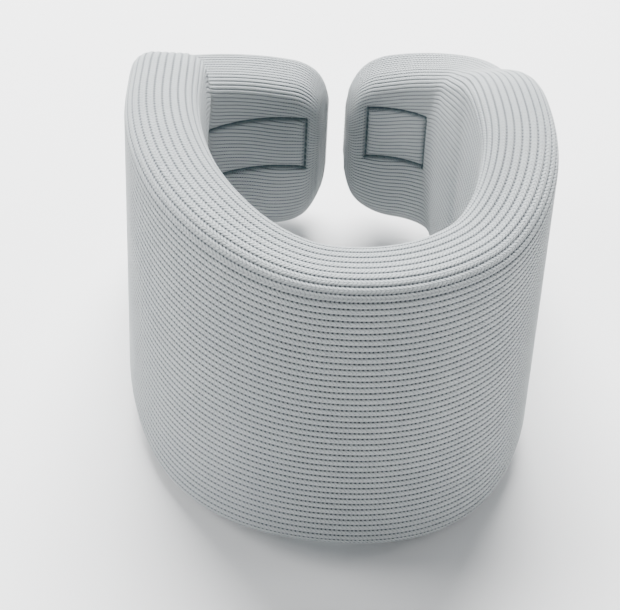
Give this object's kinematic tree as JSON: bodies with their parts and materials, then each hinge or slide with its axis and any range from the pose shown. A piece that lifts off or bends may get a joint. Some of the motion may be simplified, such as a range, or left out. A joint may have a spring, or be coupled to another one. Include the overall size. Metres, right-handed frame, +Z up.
{
  "type": "cervical collar",
  "caption": "Soft cervical collar: contoured foam ring in a ribbed knit tube, open at the back, with a sewn loop strip and a folding hook tab that close it.",
  "frame": {"origin": "middle of the footprint, on the surface the collar stands on", "axes": "+Z up, +Y towards the open back, so the chin side faces -Y, +X towards the side with the closing tab"},
  "size_m": [0.1382, 0.1737, 0.1206],
  "materials": {
    "foam": "open-cell foam",
    "knit_cover": "ribbed cotton knit",
    "loop_tape": "brushed loop pile",
    "strap_tape": "woven tape",
    "hook_tape": "moulded hooks",
    "thread": "sewing thread"
  },
  "bodies": {
    "front": {"foam_front": "foam", "cover_front": "knit_cover"},
    "left_cheek": {"foam_left_cheek": "foam", "cover_left_cheek": "knit_cover"},
    "left_side": {"foam_left_side": "foam", "cover_left_side": "knit_cover"},
    "left_back": {"foam_left_back": "foam", "cover_left_back": "knit_cover", "end_seam_left": "thread", "loop_strip": "loop_tape", "loop_strip_stitching": "thread"},
    "right_cheek": {"foam_right_cheek": "foam", "cover_right_cheek": "knit_cover"},
    "right_side": {"foam_right_side": "foam", "cover_right_side": "knit_cover"},
    "right_back": {"foam_right_back": "foam", "cover_right_back": "knit_cover", "end_seam_right": "thread", "tab_anchor": "strap_tape", "tab_stitching": "thread"},
    "tab": {"tab_base": "strap_tape"},
    "tab_end": {"tab_tip": "strap_tape", "hook_patch": "hook_tape", "hook_stitching": "thread"}
  },
  "joints": [
    {"name": "left_flex", "type": "hinge", "parent": "front", "child": "left_cheek", "pos_m": [-0.03934, -0.06206, 0.06092], "axis": [0, 0.0981, 0.9952], "range_deg": [0, 20], "stiffness_Nm_per_rad": 0.3},
    {"name": "left_flex_side", "type": "hinge", "parent": "left_cheek", "child": "left_side", "pos_m": [-0.05891, -0.02843, 0.06339], "axis": [0, 0.0981, 0.9952], "range_deg": [0, 20], "stiffness_Nm_per_rad": 0.3},
    {"name": "left_flex_back", "type": "hinge", "parent": "left_side", "child": "left_back", "pos_m": [-0.06364, 0.00761, 0.06444], "axis": [0, 0.0981, 0.9952], "range_deg": [0, 20], "stiffness_Nm_per_rad": 0.3},
    {"name": "right_flex", "type": "hinge", "parent": "front", "child": "right_cheek", "pos_m": [0.05335, -0.06235, 0.05688], "axis": [0, -0.0981, -0.9952], "range_deg": [0, 20], "stiffness_Nm_per_rad": 0.3},
    {"name": "right_flex_side", "type": "hinge", "parent": "right_cheek", "child": "right_side", "pos_m": [0.06939, -0.02544, 0.06166], "axis": [0, -0.0981, -0.9952], "range_deg": [0, 20], "stiffness_Nm_per_rad": 0.3},
    {"name": "right_flex_back", "type": "hinge", "parent": "right_side", "child": "right_back", "pos_m": [0.06391, 0.01133, 0.06668], "axis": [0, -0.0981, -0.9952], "range_deg": [0, 20], "stiffness_Nm_per_rad": 0.3},
    {"name": "tab_fold", "type": "hinge", "parent": "right_back", "child": "tab", "pos_m": [0.0078, 0.08416, 0.04709], "axis": [0, 0.0981, 0.9952], "range_deg": [0, 170]},
    {"name": "tab_flex", "type": "hinge", "parent": "tab", "child": "tab_end", "pos_m": [0.0387, 0.08164, 0.04734], "axis": [0, 0.0981, 0.9952], "range_deg": [0, 50]}
  ],
  "couplings": [
    {"joint": "left_flex_side", "follows": "left_flex", "ratio": 1},
    {"joint": "left_flex_back", "follows": "left_flex", "ratio": 1},
    {"joint": "right_flex_side", "follows": "right_flex", "ratio": 1},
    {"joint": "right_flex_back", "follows": "right_flex", "ratio": 1}
  ]
}
